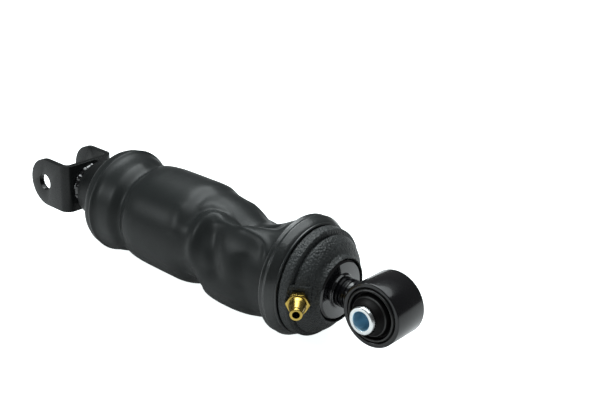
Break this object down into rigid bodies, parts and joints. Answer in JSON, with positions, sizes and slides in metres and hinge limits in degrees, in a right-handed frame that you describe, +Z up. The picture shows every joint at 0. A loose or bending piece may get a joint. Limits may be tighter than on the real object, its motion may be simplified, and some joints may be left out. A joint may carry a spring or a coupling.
{
  "type": "air-sprung cab shock absorber",
  "caption": "Twin-tube damper inside a slack rubber air bellows, with a bent-plate fork at one end, a moulded cap with a brass air fitting, and a rubber-bushed eye at the other.",
  "frame": {"origin": "centre of the fork's bolt axis, midway between the ears", "axes": "+X along the damper from the fork to the eye, +Y along both bolt axes (away from the air fitting), +Z up as the part lies"},
  "size_m": [0.406, 0.1045, 0.0972],
  "materials": {
    "black_paint": "gloss",
    "moulded_plastic": "grained",
    "bellows_rubber": "satin",
    "bush_rubber": "matte",
    "plain_steel": "satin",
    "zinc_plate": "bright",
    "chromed_rod": "polished",
    "brass": "bright",
    "sintered_iron": "matte",
    "cellular_foam": "matte"
  },
  "bodies": {
    "damper": {"fork_bracket": "black_paint", "base_cap": "black_paint", "reserve_tube": "black_paint", "base_valve_body": "sintered_iron", "base_valve_shims": "plain_steel", "base_valve_bolt": "zinc_plate", "pressure_tube": "plain_steel", "rod_guide": "sintered_iron", "rod_seal": "bush_rubber", "closure_cap": "black_paint", "rolling_piston": "moulded_plastic", "piston_o_ring_rear": "bush_rubber", "piston_o_ring_front": "bush_rubber", "piston_snap_ring": "plain_steel", "inner_clamp_ring": "plain_steel"},
    "rod": {"piston_rod": "chromed_rod", "piston_nut": "zinc_plate", "piston_shims": "plain_steel", "damper_piston": "sintered_iron", "piston_band": "bush_rubber", "rebound_stop": "cellular_foam", "bump_stop": "cellular_foam", "top_cap": "moulded_plastic", "rod_o_ring": "bush_rubber", "crimp_ring": "black_paint", "air_bellows": "bellows_rubber", "end_disc": "black_paint", "eye_ring": "black_paint", "rubber_bush": "bush_rubber", "air_fitting": "brass", "fitting_seal": "bush_rubber"},
    "sleeve": {"inner_sleeve": "zinc_plate"}
  },
  "joints": [
    {"name": "shock_stroke", "type": "slide", "parent": "damper", "child": "rod", "axis": [1, 0, 0], "range_m": [-0.07, 0], "stiffness_N_per_m": 500, "springref_m": 0.2, "deforming": ["air_bellows"]},
    {"name": "bush_twist", "type": "hinge", "parent": "rod", "child": "sleeve", "pos_m": [0.362, 0, 0], "axis": [0, 1, 0], "range_deg": [-15, 15], "stiffness_Nm_per_rad": 30}
  ]
}
